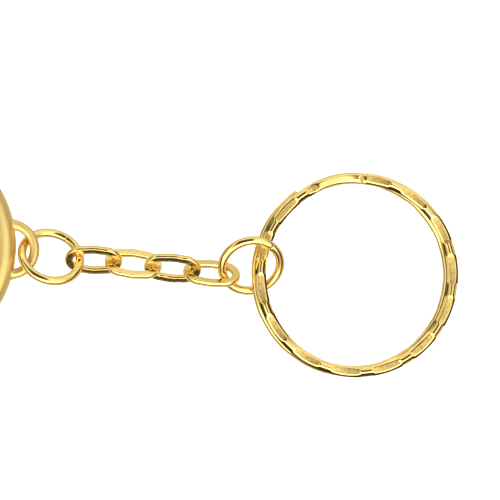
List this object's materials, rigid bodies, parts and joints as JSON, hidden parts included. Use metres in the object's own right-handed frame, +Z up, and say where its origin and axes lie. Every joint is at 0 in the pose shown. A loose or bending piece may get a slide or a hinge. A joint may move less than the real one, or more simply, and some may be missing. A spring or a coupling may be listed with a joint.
{
  "type": "keychain",
  "caption": "Gold-plated keychain: round two-shell fob with a fixed bail, a cable chain between jump rings and a split key ring.",
  "frame": {"origin": "centre of the fob's flat back, on the surface that the keychain lies on", "axes": "+X along the chain from the fob to the key ring, +Z up out of the fob's face, +Y across the chain"},
  "size_m": [0.0978, 0.0337, 0.0066],
  "materials": {
    "fob_metal": "gold-plated and polished",
    "chain_metal": "gold-plated and polished, with pressed flats",
    "key_ring_metal": "gold-plated, satin facets between bright ridges"
  },
  "bodies": {
    "fob": {"front_shell": "fob_metal", "back_plate": "fob_metal", "bail": "fob_metal"},
    "ring_a": {"jump_ring_a": "chain_metal"},
    "chain_1": {"link_1": "chain_metal"},
    "chain_2": {"link_2": "chain_metal"},
    "chain_3": {"link_3": "chain_metal"},
    "chain_4": {"link_4": "chain_metal"},
    "ring_b": {"jump_ring_b": "chain_metal"},
    "split_ring": {"key_ring": "key_ring_metal"}
  },
  "joints": [
    {"name": "bail_swing", "type": "hinge", "parent": "fob", "child": "ring_a", "pos_m": [0.01555, 0, 0.00375], "axis": [0, 0, 1], "range_deg": [-15, 20]},
    {"name": "link_1_swing", "type": "hinge", "parent": "ring_a", "child": "chain_1", "pos_m": [0.02567, -0.00048, 0.00196], "axis": [-0.2588, 0.8072, -0.5305], "range_deg": [-60, 60]},
    {"name": "link_2_swing", "type": "hinge", "parent": "chain_1", "child": "chain_2", "pos_m": [0.03131, -0.00156, 0.0017], "axis": [-0.2374, -0.7086, -0.6645], "range_deg": [-60, 60]},
    {"name": "link_3_swing", "type": "hinge", "parent": "chain_2", "child": "chain_3", "pos_m": [0.03706, -0.00221, 0.00217], "axis": [-0.3003, -0.7328, 0.6106], "range_deg": [-60, 60]},
    {"name": "link_4_swing", "type": "hinge", "parent": "chain_3", "child": "chain_4", "pos_m": [0.04293, -0.00234, 0.00188], "axis": [0.1149, 0.7357, 0.6675], "range_deg": [-60, 60]},
    {"name": "ring_b_swing", "type": "hinge", "parent": "chain_4", "child": "ring_b", "pos_m": [0.04818, -0.00363, 0.00306], "axis": [0.647, 0.4938, -0.581], "range_deg": [-35, 55]},
    {"name": "split_ring_swing", "type": "hinge", "parent": "ring_b", "child": "split_ring", "pos_m": [0.05078, -0.00132, 0.00298], "axis": [0.1271, -0.5296, 0.8387], "range_deg": [-35, 60]}
  ]
}
